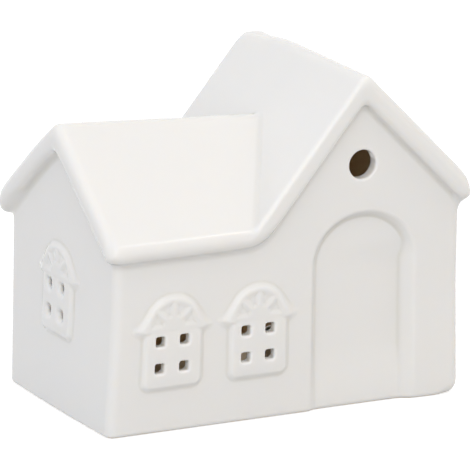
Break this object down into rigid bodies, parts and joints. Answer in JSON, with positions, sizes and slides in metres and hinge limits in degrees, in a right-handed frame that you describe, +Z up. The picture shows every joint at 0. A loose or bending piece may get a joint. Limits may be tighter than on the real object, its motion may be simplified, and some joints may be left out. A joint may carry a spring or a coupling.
{
  "type": "house tea light holder",
  "caption": "White glazed porcelain house with a low and a tall gabled wing, relief windows with pierced panes, a recessed door, and an arch over a sill at the back for a tea light.",
  "frame": {"origin": "on the surface it stands on, under the middle of the base", "axes": "+X along the long side, from the low wing to the tall wing; +Y to the back, where the arch is; +Z up; the door and the front windows face -Y"},
  "size_m": [0.1571, 0.0966, 0.131],
  "materials": {
    "porcelain": "gloss",
    "cup_sheet": "satin",
    "wax": "satin",
    "tinned_sheet": "satin",
    "wick_cotton": "matte"
  },
  "bodies": {
    "house": {"porcelain_house": "porcelain"},
    "tealight": {"tealight_cup": "cup_sheet", "tealight_wax": "wax", "wick_sustainer": "tinned_sheet", "tealight_wick": "wick_cotton"}
  },
  "joints": [
    {"name": "tealight_slide", "type": "slide", "parent": "house", "child": "tealight", "axis": [0, 0.9397, 0.342], "range_m": [0, 0.09]}
  ]
}
